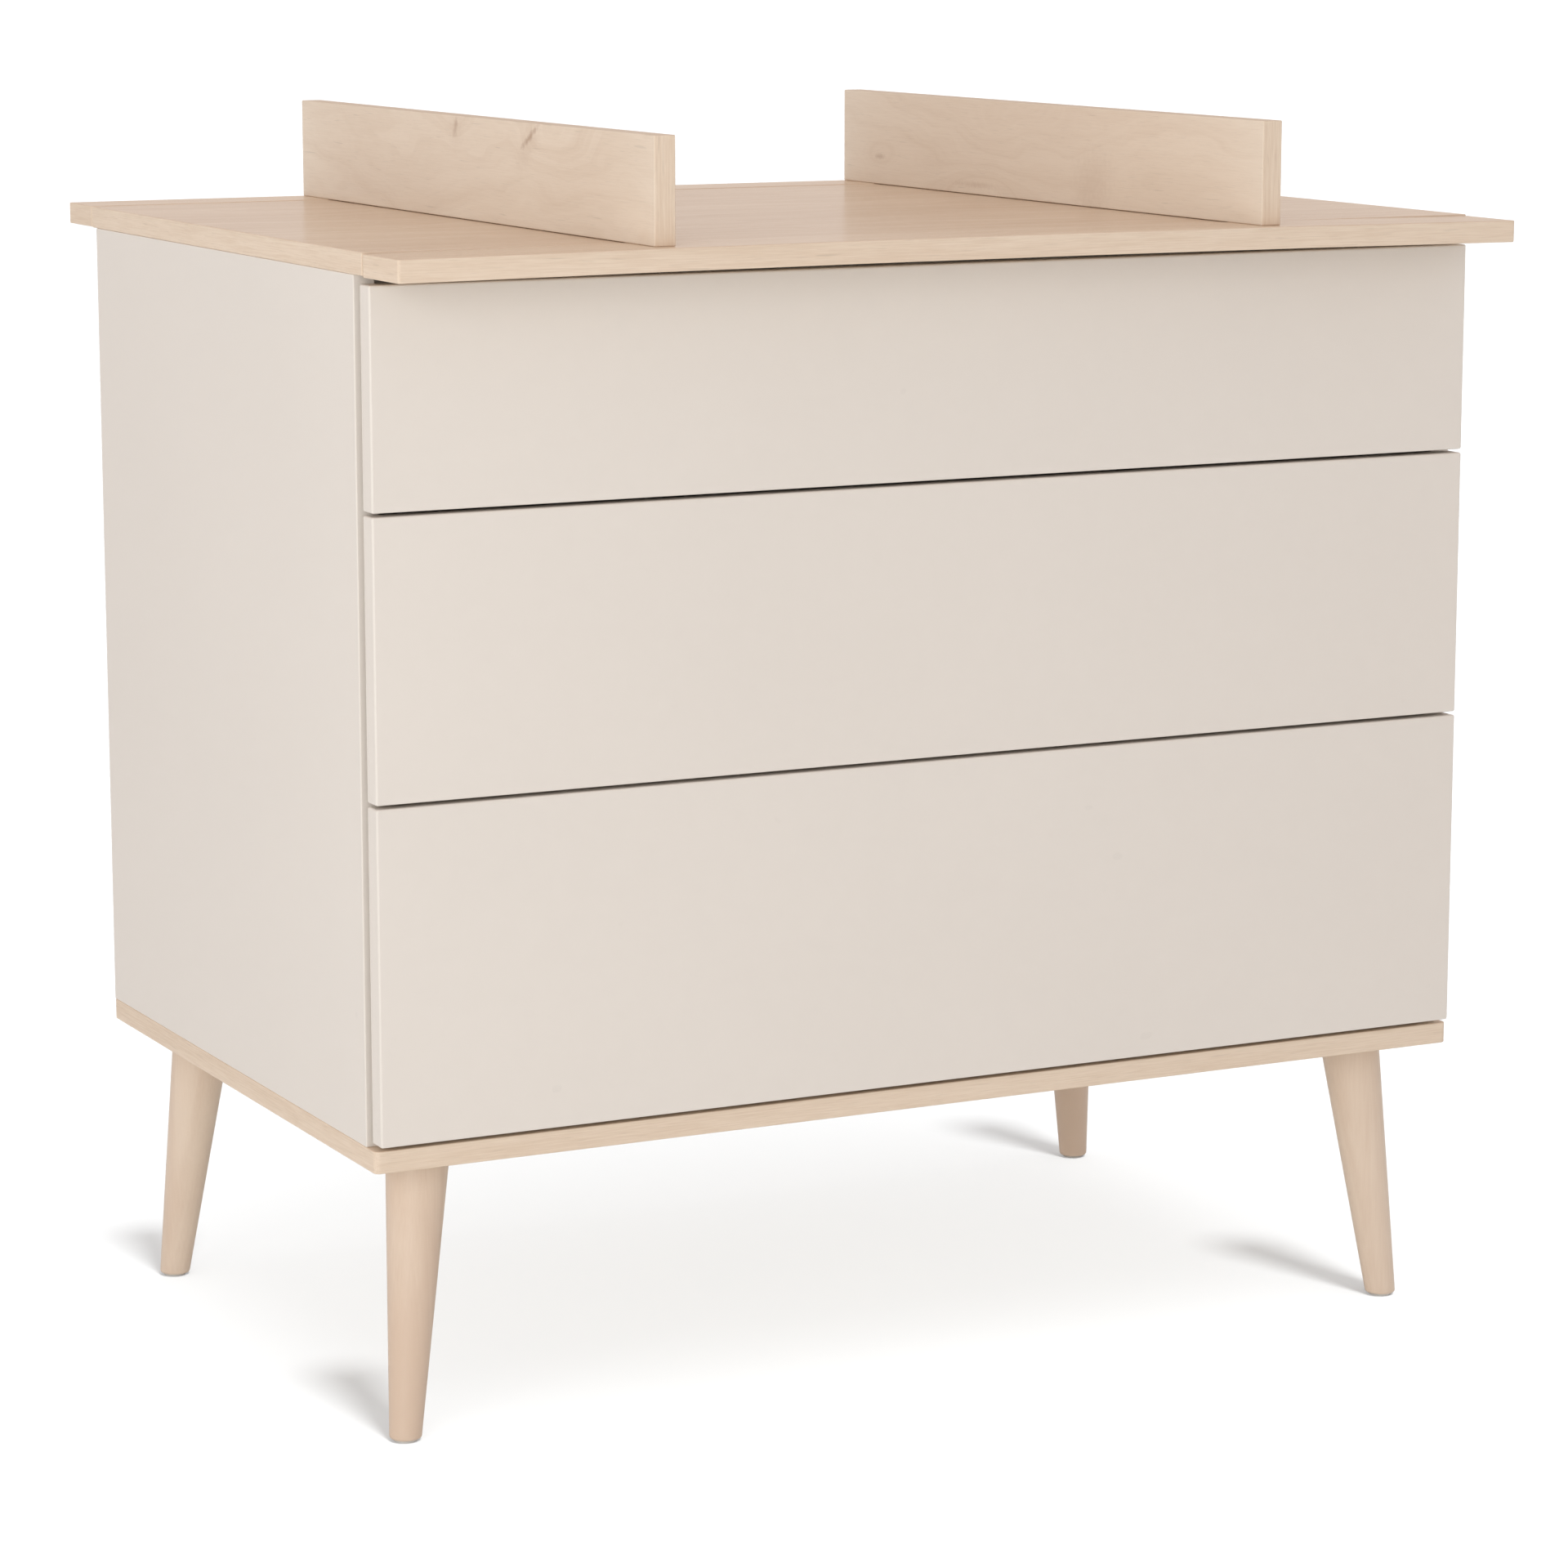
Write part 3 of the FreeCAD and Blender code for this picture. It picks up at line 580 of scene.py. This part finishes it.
def runner_hardware(shared):
    """Ball rows and their cages between the runner members, and the screws that hold the runners."""
    ball_steel = metal("ball_steel", BALL, shift_for(8), roughness=0.16, grain=(200.0, 200.0, 200.0))
    cabinet_screws = bmesh.new()
    for drawer in DRAWERS:
        cages, balls, drawer_screws = bmesh.new(), bmesh.new(), bmesh.new()
        for side in ("left", "right"):
            place = runner_places(drawer, side)
            for web, reach, row, ball, first in STAGES:
                add_cage(cages, place, web, reach, row, ball, first)
                add_balls(balls, place, row, ball, first)
            for bm, kind in ((drawer_screws, "drawer"), (cabinet_screws, "cabinet")):
                web, radius, height, turn, alongs = SCREWS[kind]
                for along in alongs:
                    add_screw_head(bm, place, web, radius, height, turn, along)
        middles = drawer + "_runner_middles"
        sheet = add_piece(drawer + "_ball_cages", cages, shared["zinc_steel"], middles, False)
        thickness = sheet.modifiers.new("sheet", "SOLIDIFY")
        thickness.thickness = CAGE_SHEET
        thickness.offset = 0.0
        add_piece(drawer + "_runner_balls", balls, ball_steel, middles, True)
        add_piece(drawer + "_drawer_rail_screws", drawer_screws, shared["screw_steel"],
                  drawer + "_drawer", True)
    add_piece("cabinet_rail_screws", cabinet_screws, shared["screw_steel"], "cabinet", True)


# ---------------------------------------------------------------- floor, light and camera
FLOOR_RADIUS = 120.0
FLOOR_SEGMENTS = 96
SOFTBOX_PLACE = (-2.75, -2.65, 1.25)
SOFTBOX_AIM = (0.0, 0.0, 0.6)
SOFTBOX_SIZE = 2.2
SOFTBOX_WATTS = 49.0
CAMERA_LENS = 112.57
CAMERA_PLACE = (-1.8956, -3.7729, 1.2158)
CAMERA_DOWN = 10.244                # degrees below the horizon
CAMERA_TURN = -26.798               # degrees from facing +Y
CAMERA_FAR = 500.0


def floor():
    """Wide pale floor that fades into the white surround; its glow is for the camera only."""
    bm = bmesh.new()
    bmesh.ops.create_circle(bm, cap_ends=True, segments=FLOOR_SEGMENTS, radius=FLOOR_RADIUS)
    mesh = bpy.data.meshes.new("floor")
    bm.to_mesh(mesh)
    bm.free()
    ground = bpy.data.objects.new("floor", mesh)
    bpy.context.scene.collection.objects.link(ground)
    graph = Graph("floor")
    tone = graph.noise(graph.coordinates.outputs["Object"], scale=2.0, detail=2.0)
    tone = graph.vary(tone, 0.01, 1.0)
    graph.finish(graph.shade(FLOOR, tone), 0.9, Specular_IOR_Level=0.0)
    graph.shader.inputs["Emission Color"].default_value = (*WHITE, 1.0)
    rays = graph.tree.nodes.new("ShaderNodeLightPath")
    glow = graph.math("MULTIPLY", rays.outputs["Is Camera Ray"], FLOOR_GLOW)
    graph.feed(graph.shader.inputs["Emission Strength"], glow)
    mesh.materials.append(graph.material)
    return ground


def surround():
    """White where the camera sees it, a warm white in reflections, and dimmer as a light."""
    world = bpy.data.worlds.new("surround")
    world.use_nodes = True
    tree = world.node_tree
    rays = tree.nodes.new("ShaderNodeLightPath")
    look = tree.nodes["Background"]
    look.inputs["Color"].default_value = (*[part * FILL_STRENGTH for part in FILL], 1.0)
    for kind, colour in (("Is Glossy Ray", REFLECTED), ("Is Camera Ray", WHITE)):
        other = tree.nodes.new("ShaderNodeBackground")
        other.inputs["Color"].default_value = (*colour, 1.0)
        chosen = tree.nodes.new("ShaderNodeMixShader")
        tree.links.new(rays.outputs[kind], chosen.inputs[0])
        tree.links.new(look.outputs[0], chosen.inputs[1])
        tree.links.new(other.outputs[0], chosen.inputs[2])
        look = chosen
    tree.links.new(look.outputs[0], tree.nodes["World Output"].inputs["Surface"])
    bpy.context.scene.world = world


def lamp(name, kind, place, aim, power):
    """Light that faces its aim."""
    data = bpy.data.lights.new(name, kind)
    data.energy = power
    light = bpy.data.objects.new(name, data)
    light.location = place
    light.rotation_euler = (Vector(aim) - Vector(place)).to_track_quat("-Z", "Y").to_euler()
    bpy.context.scene.collection.objects.link(light)
    return light


def floor_sun(name, ground, place, spread, power, blockers=()):
    """Soft even light for the floor alone; with blockers, only they throw its shadow."""
    light = lamp(name, "SUN", place, (0.0, 0.0, 0.0), power)
    light.data.angle = math.radians(spread)
    light.light_linking.receiver_collection = bpy.data.collections.new(name + "_lit")
    light.light_linking.receiver_collection.objects.link(ground)
    if blockers:
        light.light_linking.blocker_collection = bpy.data.collections.new(name + "_blockers")
        for blocker in blockers:
            light.light_linking.blocker_collection.objects.link(blocker)


def lights(ground):
    """The surround, one softbox at the front left, and two soft suns for the floor alone."""
    surround()
    softbox = lamp("corner_softbox", "AREA", SOFTBOX_PLACE, SOFTBOX_AIM, SOFTBOX_WATTS)
    softbox.data.size = SOFTBOX_SIZE
    softbox.data.color = LAMP
    legs = [frame["nodes"][leg] for leg in LEGS]
    floor_sun("overhead_sun", ground, place=(0.0, -0.6, 2.0), spread=55.0, power=1.6)
    floor_sun("low_front_sun", ground, place=(0.0, -1.4, 2.0), spread=13.0, power=4.0, blockers=legs)


def camera():
    """Three-quarter view from the front left, a little above the top."""
    data = bpy.data.cameras.new("camera")
    data.lens = CAMERA_LENS
    data.clip_end = CAMERA_FAR
    view = bpy.data.objects.new("camera", data)
    view.location = CAMERA_PLACE
    view.rotation_euler = (math.radians(90 - CAMERA_DOWN), 0.0, math.radians(CAMERA_TURN))
    bpy.context.scene.collection.objects.link(view)
    bpy.context.scene.camera = view


runner_hardware(dress_frame())
lights(floor())
camera()
bpy.context.scene.view_settings.view_transform = "Standard"
